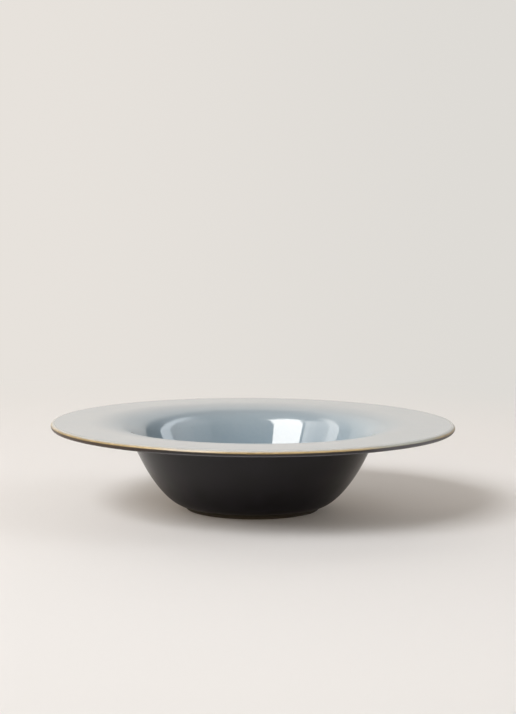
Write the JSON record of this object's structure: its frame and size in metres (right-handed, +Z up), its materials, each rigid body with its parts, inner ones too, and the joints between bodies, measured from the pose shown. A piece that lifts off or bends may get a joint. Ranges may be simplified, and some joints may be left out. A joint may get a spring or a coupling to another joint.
{
  "type": "deep plate",
  "caption": "Round deep plate with a wide flat rim, a steep-sided well and a low foot ring, in two-tone glazed stoneware, for soup, pasta or stew.",
  "frame": {"origin": "centre of the face that the foot ring stands on", "axes": "+Z up along the axis of revolution; X and Y are alike, and the picture looks along +Y"},
  "size_m": [0.27, 0.27, 0.0585],
  "materials": {
    "stoneware": "bare fired clay, fine grit, on the foot ring",
    "inner_glaze": "glossy grey-blue glaze",
    "edge_ochre": "thin ochre to iron-brown break of the glaze round the rim's edge",
    "outer_glaze": "near-black satin glaze"
  },
  "bodies": {
    "root": {"stoneware_body": "stoneware", "inner_glaze": "inner_glaze", "rim_edge_band": "edge_ochre", "outer_glaze": "outer_glaze", "base_glaze": "outer_glaze"}
  },
  "joints": []
}
